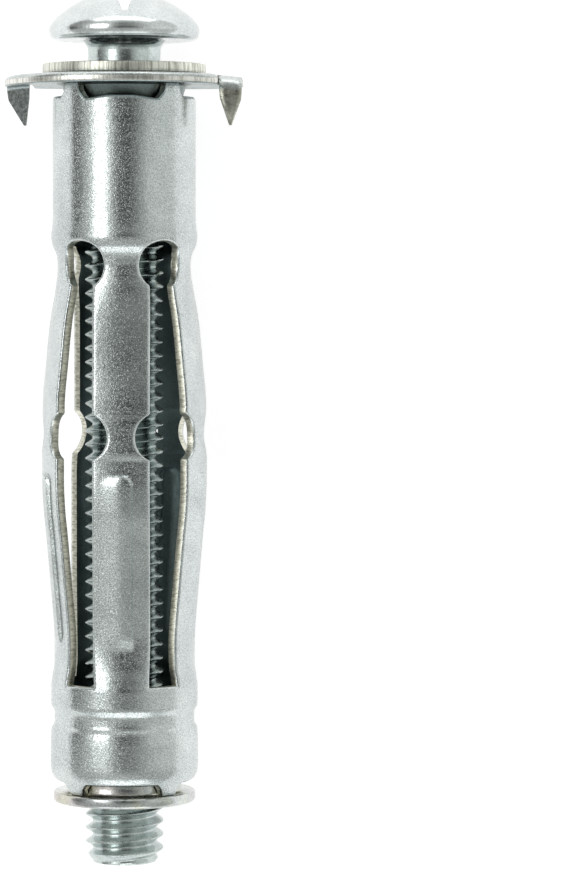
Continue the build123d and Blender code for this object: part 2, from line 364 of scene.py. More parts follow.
# painted shade: a darker copy of the plating for the plate's underside, which lies in shade
m_underside_painted_shade = plated("zinc_underside_painted_shade", (0.40, 0.45, 0.45), (0.20, 0.235, 0.235), rough=0.30,
                 grain=0.016, grain_size=0.085, sparkle=0.5, bump=0.4)
m_rim = sheared("washer_cut_rim", (0.82, 0.82, 0.75), (0.40, 0.40, 0.34),
                along=(1, 0.06, 1), size=0.12, rough=0.36, bump=0.5)
m_plate_rim = sheared("plate_cut_rim", (0.84, 0.83, 0.79), (0.52, 0.51, 0.46),
                      along=(1, 0.10, 1), size=0.14, rough=0.30, bump=0.35)
m_nut = plated("zinc_nut", (0.74, 0.74, 0.71), (0.42, 0.42, 0.40), rough=0.2,
               grain=0.012, grain_size=0.1, sparkle=0.4, bump=0.35,
               tint=[(1.0, 0.97, 0.86), (0.98, 0.93, 0.96), (0.91, 0.95, 1.0),
                     (0.97, 1.0, 0.94), (1.0, 0.98, 0.89)])


# ---------------------------------------------------------------- sleeve
SHEET = 0.45
OUTER = [  # (y, silhouette radius)
    (0.0, 3.64), (-6.6, 3.64), (-7.15, 3.66), (-7.70, 3.73), (-8.10, 3.68),
    (-8.75, 3.43), (-9.30, 3.40), (-9.70, 3.42), (-10.30, 3.51), (-11.90, 3.80),
    (-14.10, 4.02), (-16.40, 4.20), (-17.75, 4.10), (-18.90, 4.235), (-20.0, 4.235),
    (-21.40, 4.18), (-22.80, 4.05), (-25.50, 3.82), (-28.20, 3.62), (-29.50, 3.60),
    (-30.10, 3.68), (-30.60, 3.75), (-31.55, 3.75), (-31.95, 3.58), (-32.45, 3.57),
    (-32.80, 3.74), (-33.4, 3.77), (-34.60, 3.78), (-34.95, 3.75), (-35.20, 3.66),
    (-35.50, 3.50), (-35.75, 3.41), (-36.00, 3.37),
]
TOP_C, TOP_R = -9.16, 1.22       # round slot tops
BOT_Y = -30.40                   # square slot bottoms
WAIST_Y, WAIST_R, WAIST_T = -17.78, 1.247, 0.71 + 1.247
HALF = 1.475
LEGS = [-144.0, -72.0, 0.0, 72.0, 144.0]
SEAM_LEG = -148.0                # the last leg: narrower, and nearly straight
SEAM_HALF, SEAM_ROOT = 1.30, 1.37
OUTER_STRAIGHT = [
    (-9.00, 3.41), (-9.30, 3.40), (-10.30, 3.39), (-13.00, 3.36), (-16.90, 3.36),
    (-18.50, 3.55), (-20.00, 3.66), (-25.00, 3.66), (-29.50, 3.60),
]
LOBE_T = 2.14
SEAM_GAP = 0.12


def flatness(y):
    """Cross curvature radius of a leg, flatter through the bowed stretch."""
    up = smooth(-y, 9.6, 12.0) * (1 - smooth(-y, 27.5, 30.2))
    return 3.64 + up * lerp(4.6, 4.0, smooth(-y, 18.0, 20.0))


def half_width(y, which=0):
    """Half width of a leg at y, on one side: 0 for an ordinary leg, 1 for the
    last leg's side at the seam, 2 for its other side."""
    w = HALF if which == 0 else SEAM_HALF
    off = (2.14, 2.387, 1.910)[which]
    notch = WAIST_T if which == 0 else 0.66 + WAIST_R
    if which == 1:
        w = lerp(SEAM_ROOT, SEAM_HALF, smooth(-y, 10.0, 11.6))
    if abs(y - WAIST_Y) < WAIST_R:
        w = min(w, notch - sqrt(max(WAIST_R ** 2 - (y - WAIST_Y) ** 2, 0)))
    if abs(y - TOP_C) < TOP_R:
        w = min(w, off - sqrt(max(TOP_R ** 2 - (y - TOP_C) ** 2, 0)))
    return w


# columns across half a leg: fixed steps near the edge, then shares of the rest
EDGE_STEPS = [0.0, 0.022, 0.06, 0.12, 0.20]
SHARES = [0.0, 0.16, 0.30, 0.365, 0.40, 0.435, 0.475, 0.53, 0.64, 0.76, 0.88]
COLS_HALF = len(SHARES) + len(EDGE_STEPS) - 1     # cells in half a leg
SLOT_CELLS = 10


def leg_ts(w):
    inner = w - EDGE_STEPS[-1]
    ts = [s * inner for s in SHARES] + [w - e for e in reversed(EDGE_STEPS)]
    return ts      # from the middle to the edge


def rolled(d, r=0.15):
    """Drop of a cut edge's outer face at distance d from the edge."""
    if d >= r:
        return 0.0
    d = max(d, 0.0)
    return (r - sqrt(r * r - (r - d) ** 2)) * 0.8


ARC_A = radians(48.0)            # the slot's top arc starts here from its side
ARC_Y = TOP_C + TOP_R * sin(ARC_A)
ARC_T = TOP_R * cos(ARC_A)


def rib(t, y, wide=0.55):
    """Raised rib of a leg's lower half: a crisp side on the right, a softer
    one on the left, a rounded top end and a foot that fades out."""
    y0, y1 = -28.62, -19.68
    if y > y1 or y < y0:
        return 0.0
    top_round = wide
    wr = wl = wide
    if y > y1 - top_round:
        k = (y - (y1 - top_round)) / top_round
        wr = wl = wide * sqrt(max(1 - k * k, 0.0))
    fade = smooth(y, y0, y0 + 0.8)
    if t >= 0:
        side = 1 - smooth(t, wr - 0.055, wr + 0.055)
    else:
        side = 1 - smooth(-t, wl - 0.62, wl + 0.56)
    return 0.17 * side * fade


def crease(y, t):
    """Light pressed lines across a leg's root and foot."""
    c = 0.010 * math.exp(-((y + 8.62) / 0.12) ** 2)
    c -= 0.010 * math.exp(-((y + 9.20) / 0.16) ** 2)
    c += 0.015 * math.exp(-((y + 29.95) / 0.12) ** 2)
    return c


def surface(leg_deg, t, y, is_slot=False, phi=None):
    """Outer point and inward unit normal of the sheet."""
    rs = table(OUTER, y)
    rho = flatness(y)
    if is_slot:
        a = radians(phi)
        return (rs * sin(a), y, rs * cos(a)), (-sin(a), 0, -cos(a))
    if leg_deg == SEAM_LEG:
        if -29.5 < y < -9.0:
            rs = table(OUTER_STRAIGHT, y)
        r = rs + rib(t, y, 0.475) + crease(y, t)
        a = radians(leg_deg) + t / rs
        return (r * sin(a), y, r * cos(a)), (-sin(a), 0, -cos(a))
    if rho <= rs + 1e-6:
        rho = rs
    tm = min(half_width(y), rho * 0.3249)
    sag_tm = rho - sqrt(rho * rho - tm * tm)
    rc = (rs - tm * 0.30902) / 0.95106 + sag_tm
    if abs(rho - rs) < 1e-6:
        rc = rs
    rc += rib(t, y) + crease(y, t)
    # the leg keeps its sheet width: t is measured along its face
    ang = t / rho
    x = rho * sin(ang)
    z = rc - rho * (1 - cos(ang))
    nx, nz = -sin(ang), -cos(ang)
    a = radians(leg_deg)
    return ((x * cos(a) + z * sin(a), y, -x * sin(a) + z * cos(a)),
            (nx * cos(a) + nz * sin(a), 0, -nx * sin(a) + nz * cos(a)))


TABS = [45.0, 135.0, -45.0, -135.0]


def wrap(d):
    return (d + 180.0) % 360.0 - 180.0


def top_rim(phi):
    leg = min(abs(wrap(phi - a)) for a in LEGS)
    y = -0.66 - 0.14 * smooth(leg, 8, 30)
    for tb in TABS:
        d = abs(wrap(phi - tb))
        if d < 14.5:
            y = max(y, lerp(y, 0.0, 1 - smooth(d, 6.9, 9.2)) + 0.34 * (1 - smooth(d, 8.6, 14.0)) * smooth(d, 7.2, 9.2))
    return min(y, 0.0)


def foot_rim(phi):
    y = -35.42
    for tb in TABS:
        d = abs(wrap(phi - tb))
        if d < 15:
            y = min(y, lerp(y, -36.0, 1 - smooth(d, 7.4, 9.8)) - 0.22 * (1 - smooth(d, 9.0, 14.5)) * smooth(d, 7.6, 9.8))
    return max(y, -36.0)


def build_rows():
    ys = []

    def span(a, b, n):
        for i in range(n):
            ys.append(lerp(a, b, i / n))
    span(-1.6, -6.6, 12)
    span(-6.6, ARC_Y + 0.20, 11)
    for d in (0.20, 0.12, 0.06, 0.022):
        ys.append(ARC_Y + d)
    row_arc = len(ys)
    ys.append(ARC_Y)
    span(ARC_Y - 0.07, -10.5, 26)
    span(-10.5, -16.4, 24)
    span(-16.4, -16.75, 4)
    span(-16.75, -18.85, 22)
    span(-18.85, -19.10, 3)
    span(-19.10, -19.60, 4)
    span(-19.60, -20.35, 12)
    span(-20.35, -27.95, 30)
    span(-27.95, -28.70, 12)
    span(-28.70, BOT_Y, 12)
    row_bot = len(ys)
    ys.append(BOT_Y)
    for d in (0.022, 0.06, 0.12, 0.20):
        ys.append(BOT_Y - d)
    span(BOT_Y - 0.30, -34.5, 36)
    return ys, row_arc, row_bot


ROWS, R_ARC, R_BOT = build_rows()
N_TOP, N_FOOT = 12, 12           # extra rows to the shaped rims
TOP_FR = [0.0, 0.022, 0.06, 0.12, 0.2, 0.32, 0.48, 0.66, 0.84, 1.02, 1.24, 1.46]


def column_list():
    """(kind, leg index, side share) along the sheet from seam to seam."""
    cols = []
    order = []
    # the seam is in the slot at -108, between legs -144 and -72
    half = SLOT_CELLS // 2
    legs_in_turn = [-72.0, 0.0, 72.0, 144.0, SEAM_LEG]
    cols.append(("slot", -108.0, 0.0))
    for i in range(1, half):
        cols.append(("slot", -108.0, i / half))
    for leg in legs_in_turn:
        ts = COLS_HALF
        for i in range(-ts, ts + 1):
            cols.append(("leg", leg, i))
        mid_ = wrap(leg + 36.0) if leg != SEAM_LEG else -108.0
        if leg != SEAM_LEG:
            for i in range(1, SLOT_CELLS):
                cols.append(("slot", mid_, -1 + 2 * i / SLOT_CELLS))
        else:
            for i in range(1, half):
                cols.append(("slot", mid_, -1 + i / half))
            cols.append(("slot", mid_, -0.0))
    return cols


COLS = column_list()
N_COLS = len(COLS)


def slot_edges(mid_deg, y):
    """Angles of the two sides of a slot at y, on the sheet."""
    out_ = []
    for side in (-1, 1):
        which, away = 0, 36.0
        if side < 0 and abs(wrap(mid_deg + 108.0)) < 1:
            which, away = 1, 40.0
        if side > 0 and abs(wrap(mid_deg - 180.0)) < 1:
            which, away = 2, 32.0
        rho = table(OUTER, y)
        if which == 0:
            rho = max(rho, flatness(y))
        ang = half_width(y, which) / rho * 180 / pi
        out_.append(side * away - side * ang)
    return out_


def sleeve_point(ci, y, arc_blend=0.0):
    kind, ref, s = COLS[ci]
    if kind == "leg":
        side = 1 if s >= 0 else -1
        which = 0
        if ref == SEAM_LEG:
            which = 1 if side > 0 else 2
        if y >= ARC_Y:
            w = half_width(ARC_Y - 1e-4, which)
        else:
            w = half_width(max(y, BOT_Y), which)
        ts = leg_ts(w)
        t = side * ts[abs(s)]
        p, nrm = surface(ref, t, y)
        d = w - abs(t)
        return p, nrm, (t, d)
    mid_deg = ref
    # sides of the slot on this row
    yy = min(y, ARC_Y) if y >= ARC_Y else y
    lo, hi = slot_edges(mid_deg, (ARC_Y - 1e-4) if y >= ARC_Y else (BOT_Y + 1e-4))
    if abs(mid_deg + 108) < 1:
        g = SEAM_GAP / 2 / 3.6 * 180 / pi
        if ci < N_COLS // 2:
            phi = mid_deg + lerp(g, hi, s)
        else:
            phi = mid_deg + lerp(lo, -g, s + 1.0)
    else:
        phi = mid_deg + lerp(lo, hi, (s + 1) / 2)
    p, nrm = surface(None, 0, y, True, phi)
    return p, nrm, (phi - mid_deg, 1.0)


def build_sleeve():
    top, bot, ids = [], [], {}

    def col_phi(ci, y):
        p, _, _ = sleeve_point(ci, y)
        return atan2(p[0], p[2]) * 180 / pi

    # shift of the columns near each end so that some land on the tabs' sides
    def tab_targets():
        res = []
        for tb in TABS:
            for d in (-14.0, -11.2, -9.2, -8.4, -7.6, -6.9, 6.9, 7.6, 8.4, 9.2, 11.2, 14.0):
                res.append(wrap(tb + d))
        return res

    def warp_for(y_ref):
        phis = [col_phi(ci, y_ref) for ci in range(N_COLS)]
        un = [phis[0]]
        for p in phis[1:]:
            q = p
            while q < un[-1] - 1e-6:
                q += 360.0
            un.append(q)
        tg = []
        for t in tab_targets():
            while t < un[0] + 1.0:
                t += 360.0
            while t > un[-1] - 1.0:
                t -= 360.0
            if un[0] + 1.0 < t < un[-1] - 1.0:
                tg.append(t)
        tg.sort()
        used = []
        last = 0
        for t in tg:
            best = None
            for ci in range(last + 1, N_COLS - 1):
                dd = abs(un[ci] - t)
                if best is None or dd < best[0]:
                    best = (dd, ci)
                elif un[ci] > t + 4:
                    break
            if best:
                used.append((best[1], t))
                last = best[1]
        keys = [(0, un[0])] + used + [(N_COLS - 1, un[-1])]
        newphi = [0.0] * N_COLS
        for (c0, p0), (c1, p1) in zip(keys, keys[1:]):
            for ci in range(c0, c1 + 1):
                if c1 == c0:
                    newphi[ci] = p1
                    continue
                u0, u1 = un[c0], un[c1]
                f = (un[ci] - u0) / (u1 - u0) if u1 > u0 else 0
                newphi[ci] = lerp(p0, p1, f)
        return un, newphi

    un_t, new_t = warp_for(-1.0)
    un_b, new_b = warp_for(-34.6)

    def put(key, p, nrm, drop, thick=SHEET):
        q = (p[0] + nrm[0] * drop, p[1], p[2] + nrm[2] * drop)
        # the inner face keeps the sheet's thickness, with a small drop of its own
        r_in = (p[0] + nrm[0] * thick, p[1], p[2] + nrm[2] * thick)
        ids[key] = len(top)
        top.append(q)
        bot.append(r_in)

    total = []
    # top rows, from the rim down
    for k, fr in enumerate(TOP_FR):
        total.append(("top", fr))
    for j in range(len(ROWS)):
        total.append(("row", j))
    for k, fr in enumerate(reversed(TOP_FR)):
        total.append(("foot", fr))
    for ri, (kind, val) in enumerate(total):
        for ci in range(N_COLS):
            if kind == "top":
                rim_y = top_rim(new_t[ci])
                span_ = (-1.6 - rim_y)
                f = min(val / 1.6, 1.0)
                if val <= 0.2:
                    y = rim_y - val
                else:
                    y = rim_y - 0.2 + (span_ + 0.2) * (val - 0.2) / (1.6 - 0.2)
                ph = radians(lerp(new_t[ci], un_t[ci], smooth(f, 0.35, 1.0)))
                r = table(OUTER, y)
                p, nrm = (r * sin(ph), y, r * cos(ph)), (-sin(ph), 0, -cos(ph))
                put((ri, ci), p, nrm, rolled(rim_y - y))
            elif kind == "foot":
                rim_y = foot_rim(new_b[ci])
                f = min(val / 1.6, 1.0)
                y_ref = -34.5
                if val <= 0.2:
                    y = rim_y + val
                else:
                    y = rim_y + 0.2 + (y_ref - rim_y - 0.2) * (val - 0.2) / (1.6 - 0.2)
                ph = radians(lerp(new_b[ci], un_b[ci], smooth(f, 0.35, 1.0)))
                r = table(OUTER, y)
                p, nrm = (r * sin(ph), y, r * cos(ph)), (-sin(ph), 0, -cos(ph))
                put((ri, ci), p, nrm, rolled(y - rim_y))
            else:
                y = ROWS[val]
                ck, ref, s = COLS[ci]
                open_ = R_ARC < val < R_BOT
                if ck == "slot" and open_:
                    continue
                p, nrm, (t, d) = sleeve_point(ci, y)
                drop = 0.0
                if ck == "leg":
                    if R_ARC <= val <= R_BOT:
                        drop = rolled(d)
                    elif val < R_ARC:
                        dd = math.hypot(d, max(0.0, y - ARC_Y))
                        drop = rolled(dd)
                    else:
                        dd = math.hypot(d, max(0.0, BOT_Y - y))
                        drop = rolled(dd)
                elif ck == "slot" and val <= R_ARC and y < -6.0:
                    # rows lean to follow the slot's round top
                    lo, hi = slot_edges(ref, ARC_Y - 1e-4)
                    mid_deg = ref
                    if abs(mid_deg + 108) < 1:
                        g = SEAM_GAP / 2 / 3.6 * 180 / pi
                        ang = lerp(g, hi, s) if ci < N_COLS // 2 else lerp(lo, -g, s + 1.0)
                    else:
                        ang = lerp(lo, hi, (s + 1) / 2)
                    half_ = (hi - lo) / 2
                    u = clamp(ang / max(abs(hi), 1e-6), -1, 1) if ang >= 0 else clamp(ang / max(abs(lo), 1e-6), -1, 1)
                    arc_t = ARC_T * u
                    arc_y = TOP_C + sqrt(TOP_R ** 2 - arc_t ** 2)
                    lift = arc_y - ARC_Y
                    w = smooth(y, -6.0, ARC_Y + 0.25) if y > ARC_Y + 0.25 else 1.0
                    # blend: full lift at the arc, none at y = -6
                    w = 1.0 if y <= ARC_Y + 0.25 else clamp((-6.0 - y) / (-6.0 - (ARC_Y + 0.25)))
                    y2 = y + lift * w
                    r = table(OUTER, y2)
                    ph = radians(mid_deg + ang)
                    p, nrm = (r * sin(ph), y2, r * cos(ph)), (-sin(ph), 0, -cos(ph))
                    drop = rolled(max(0.0, y - ARC_Y))
                elif ck == "slot" and val >= R_BOT:
                    drop = rolled(max(0.0, BOT_Y - y))
                put((ri, ci), p, nrm, drop)
    faces = []
    nrows = len(total)
    base = len(TOP_FR)
    for ri in range(nrows - 1):
        for ci in range(N_COLS - 1):
            k = [(ri, ci), (ri, ci + 1), (ri + 1, ci + 1), (ri + 1, ci)]
            a, b = COLS[ci], COLS[ci + 1]
            mid_open = (base + R_ARC) <= ri < (base + R_BOT)
            if mid_open and (a[0] == "slot" or b[0] == "slot"):
                continue
            if all(x in ids for x in k):
                faces.append((ids[k[0]], ids[k[3]], ids[k[2]], ids[k[1]]))
    used = sorted({i for f in faces for i in f})
    remap = {o: i for i, o in enumerate(used)}
    top2 = [top[i] for i in used]
    bot2 = [bot[i] for i in used]
    faces = [tuple(remap[i] for i in f) for f in faces]
    # the inner faces take the third material, the dark painted shade of the sleeve's inside
    return sheet_solid("anchor_sleeve", top2, bot2, faces,
                       [m_sleeve, m_edge, m_inside_painted_shade], 3, 0.015, 1.0, 2)


sleeve = build_sleeve()
weighted(sleeve, 34)
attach(sleeve, "anchor")
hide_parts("sleeve")


# ---------------------------------------------------------------- screw
PITCH = 0.7
NECK_END, TIP_Y = -1.4, -39.68
R_SHANK, R_CREST, R_ROOT = 1.845, 1.995, 1.62
HEAD_Y, HEAD_TOP = 2.20, 4.70
DOME_R = 5.10
DOME_C = HEAD_TOP - DOME_R
DISC_R = 3.40
PHASE = 0.37                     # where a crest passes, in turns


def head_height(x, z):
    """Top of the head with its straight slot, x measured across the slot."""
    r2 = x * x + z * z
    dome = DOME_C + sqrt(DOME_R ** 2 - r2)
    ax = abs(x)
    floor_ = 3.57 + 0.03 * (z / 3.0) ** 2
    wall = floor_ + max(0.0, ax - 0.13) * (1.13 / 0.36)
    # soft foot of the wall
    k = 0.05
    wall = floor_ + 0.5 * ((wall - floor_) + sqrt((wall - floor_) ** 2 + k * k)) - 0.5 * k
    kk = 0.07
    return 0.5 * (dome + wall - sqrt((dome - wall) ** 2 + kk * kk))


def build_screw():
    slot_turn = radians(3.0)
    xs = set()
    n_base = 60
    for i in range(1, n_base // 2):
        xs.add(round(DISC_R * cos(2 * pi * i / n_base), 5))
    for e in (0.10, 0.15, 0.19, 0.27, 0.34, 0.40, 0.44, 0.48, 0.53, 0.60, 0.70):
        xs.add(e)
        xs.add(-e)
    xs.add(0.0)
    xs = sorted(xs)
    clean = [xs[0]]
    for x in xs[1:]:
        if x - clean[-1] > 0.03:
            clean.append(x)
    xs = clean
    verts, faces, fmat = [], [], []
    nz = 40
    cs, sn = cos(slot_turn), sin(slot_turn)

    def rot(x, z):
        return (x * cs + z * sn, -x * sn + z * cs)

    grid = []
    for x in xs:
        chord = sqrt(max(DISC_R ** 2 - x * x, 0))
        col = []
        for j in range(nz + 1):
            s = -1 + 2 * j / nz
            s = sin(s * pi / 2) * 0.35 + s * 0.65
            z = chord * s
            rx, rz = rot(x, z)
            verts.append((rx, head_height(x, z), rz))
            col.append(len(verts) - 1)
        grid.append(col)
    rx, rz = rot(-DISC_R, 0)
    verts.append((rx, head_height(-DISC_R, 0), rz))
    left = len(verts) - 1
    rx, rz = rot(DISC_R, 0)
    verts.append((rx, head_height(DISC_R, 0), rz))
    right = len(verts) - 1
    for i in range(len(xs) - 1):
        for j in range(nz):
            faces.append((grid[i][j], grid[i][j + 1], grid[i + 1][j + 1], grid[i + 1][j]))
            fmat.append(0)
    for j in range(nz):
        faces.append((left, grid[0][j + 1], grid[0][j]))
        fmat.append(0)
        faces.append((right, grid[-1][j], grid[-1][j + 1]))
        fmat.append(0)
    loop = [left] + [c[0] for c in grid] + [right] + [c[-1] for c in reversed(grid)]
    angs = [atan2(verts[i][0], verts[i][2]) for i in loop]
    # down the head's rim, its underside and the neck
    prof = [(3.56, 3.235), (3.68, 3.10), (3.77, 2.96), (3.82, 2.82), (3.83, 2.70),
            (3.82, 2.58), (3.78, 2.44), (3.70, 2.32), (3.58, 2.235), (3.42, 2.205),
            (3.1, 2.20), (2.6, 2.20), (2.32, 2.195), (2.20, 2.165), (2.08, 2.10),
            (1.97, 2.0), (1.885, 1.89), (1.85, 1.78), (1.845, 1.6), (1.845, 0.6), (1.845, -0.6),
            (1.845, NECK_END)]
    prev = loop
    m = len(loop)
    for (r, y) in prof:
        ring = []
        for a in angs:
            verts.append((r * sin(a), y, r * cos(a)))
            ring.append(len(verts) - 1)
        for i in range(m):
            j = (i + 1) % m
            faces.append((prev[i], prev[j], ring[j], ring[i]))
            fmat.append(0 if y > 1.95 else 1)
        prev = ring
    neck = prev
    # helical thread, columns on the same angles
    prof_t = [(0.00, 1.0), (0.06, 1.0), (0.13, 0.87), (0.28, 0.44), (0.42, 0.08),
              (0.49, 0.0), (0.57, 0.0), (0.64, 0.08), (0.78, 0.44), (0.93, 0.87)]
    K = len(prof_t)
    # angles must rise along the loop for the helix; unwrap them
    direction = 1 if sum(wrap(math.degrees(angs[(i + 1) % m] - angs[i])) for i in range(m)) > 0 else -1
    cols = []
    turn = [0.0]
    for i in range(1, m):
        turn.append(turn[-1] + wrap(math.degrees(angs[i] - angs[i - 1])) / 360.0)
    turns_total = int((NECK_END - TIP_Y) / PITCH) + 3
    tip_r = 1.60

    def env(y):
        c = tip_r + (y - TIP_Y) / 0.62 * 0.40
        return c

    for i in range(m):
        # y rises by one pitch per positive turn
        y_here = NECK_END + PITCH * 1.5 + PITCH * (turn[i] + PHASE)
        col = []
        last_key = None
        for q in range(turns_total + 3):
            for k, (ph, h) in enumerate(prof_t):
                y = y_here - PITCH * (q + ph)
                crest = lerp(R_SHANK, R_CREST, smooth(-y, -NECK_END, -NECK_END + 0.8))
                root = lerp(R_SHANK, R_ROOT, smooth(-y, -NECK_END, -NECK_END + 0.8))
                r = root + (crest - root) * h
                r = min(r, max(env(y), 1.55))
                if y >= NECK_END - 1e-6:
                    col.append(neck[i])
                    continue
                if y <= TIP_Y + 1e-6:
                    if last_key is None:
                        verts.append((tip_r * 0.985 * sin(angs[i]), TIP_Y, tip_r * 0.985 * cos(angs[i])))
                        last_key = len(verts) - 1
                    col.append(last_key)
                    continue
                verts.append((r * sin(angs[i]), y, r * cos(angs[i])))
                col.append(len(verts) - 1)
        if last_key is None:
            verts.append((tip_r * 0.985 * sin(angs[i]), TIP_Y, tip_r * 0.985 * cos(angs[i])))
            last_key = len(verts) - 1
            col.append(last_key)
        cols.append((col, last_key))
    L = min(len(c[0]) for c in cols)

    def add_quad(a, b, c, d, mt):
        ids_ = []
        for v in (a, b, c, d):
            if v not in ids_:
                ids_.append(v)
        if len(ids_) >= 3:
            faces.append(tuple(ids_))
            fmat.append(mt)

    for i in range(m):
        j = (i + 1) % m
        ca, cb = cols[i][0], cols[j][0]
        shift = 0
        if j == 0:
            # the last column meets the first one a full turn on
            shift = -K if direction > 0 else K
        for k in range(0, L - 1):
            ka, kb = k, k + shift
            if kb < 0 or ka + 1 >= len(ca):
                continue
            b0 = cb[kb] if kb < len(cb) else cols[j][1]
            b1 = cb[kb + 1] if kb + 1 < len(cb) else cols[j][1]
            add_quad(ca[ka], b0, b1, ca[ka + 1], 1)
    ring = [c[1] for c in cols]
    # flat tip with a shallow dish
    prev = ring
    for (r, y) in ((1.35, TIP_Y - 0.0), (0.8, TIP_Y + 0.03), (0.25, TIP_Y + 0.05)):
        nr = []
        for a in angs:
            verts.append((r * sin(a), y, r * cos(a)))
            nr.append(len(verts) - 1)
        for i in range(m):
            j = (i + 1) % m
            faces.append((prev[i], prev[j], nr[j], nr[i]))
            fmat.append(1)
        prev = nr
    verts.append((0, TIP_Y + 0.055, 0))
    c = len(verts) - 1
    for i in range(m):
        faces.append((prev[i], prev[(i + 1) % m], c))
        fmat.append(1)
    # painted shade: thread faces within the sleeve's length take the darker thread material
    for k, f in enumerate(faces):
        if fmat[k] == 1 and -36.4 < verts[f[0]][1] < -6.0:
            fmat[k] = 2
    ob = make_object("machine_screw", verts, faces, [m_head, m_screw, m_thread_painted_shade], fmat)
    import bmesh
    bm = bmesh.new()
    bm.from_mesh(ob.data)
    bmesh.ops.remove_doubles(bm, verts=bm.verts, dist=1e-7)
    bmesh.ops.dissolve_degenerate(bm, edges=bm.edges, dist=1e-7)
    loose = [v for v in bm.verts if not v.link_faces]
    bmesh.ops.delete(bm, geom=loose, context="VERTS")
    open_edges = [e for e in bm.edges if len(e.link_faces) != 2]
    print("screw open edges", len(open_edges))
    bmesh.ops.recalc_face_normals(bm, faces=bm.faces)
    bm.to_mesh(ob.data)
    bm.free()
    return ob


screw = build_screw()
weighted(screw, 40)
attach(screw, "screw")
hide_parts("screw")


# ---------------------------------------------------------------- discs
def ring_angles(n):
    return [2 * pi * i / n for i in range(n)]


def disc(name, r_out, r_in, y0, y1, mats, n=160, edge_r=0.07, seed=2.0, wave=0.012, dish=0.0):
    """Flat ring with a sheared rim: rolled edge at y1, ragged edge at y0."""
    verts, faces, fmat = [], [], []
    prof = []
    prof.append((r_in, y0 + 0.05, 0))
    prof.append((r_in + 0.05, y0, 0))
    prof.append((lerp(r_in, r_out, 0.5), y0, 0))
    prof.append((r_out - 0.16, y0, 0))
    prof.append((r_out - edge_r * 0.35, y0, 0))
    prof.append((r_out - edge_r * 0.10, y0 + edge_r * 0.35, 1))
    prof.append((r_out + 0.004, y0 + (y1 - y0) * 0.30, 1))
    prof.append((r_out, y0 + (y1 - y0) * 0.55, 1))
    prof.append((r_out - 0.01, y1 - edge_r * 1.1, 1))
    prof.append((r_out - edge_r * 0.35, y1 - edge_r * 0.30, 1))
    prof.append((r_out - edge_r * 1.1, y1, 0))
    prof.append((r_out - 0.3, y1 + 0.002, 0))
    prof.append((lerp(r_in, r_out, 0.5), y1, 0))
    prof.append((r_in + 0.10, y1, 0))
    prof.append((r_in, y1 - 0.10, 0))
    m = len(prof)
    for i, a in enumerate(ring_angles(n)):
        for k, (r, y, mt) in enumerate(prof):
            rr = r
            if r > lerp(r_in, r_out, 0.75):
                rr = r - wave * (0.5 + 0.5 * wobble(i * 0.23, seed + k * 0.01)) * (1 if mt else 0.6)
            yy = y - dish * (max(0, r - r_in) / (r_out - r_in)) ** 2
            verts.append((rr * sin(a), yy, rr * cos(a)))
    for i in range(n):
        j = (i + 1) % n
        for k in range(m):
            k2 = (k + 1) % m
            faces.append((i * m + k, i * m + k2, j * m + k2, j * m + k))
            fmat.append(1 if (prof[k][2] or prof[k2][2]) else 0)
    ob = make_object(name, verts, faces, mats, fmat)
    weighted(ob, 40)
    return ob


washer = disc("loose_washer", 4.16, 2.45, 0.53, 1.01, [m_plate, m_rim], seed=2.0)
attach(washer, "washer")
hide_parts("washer")


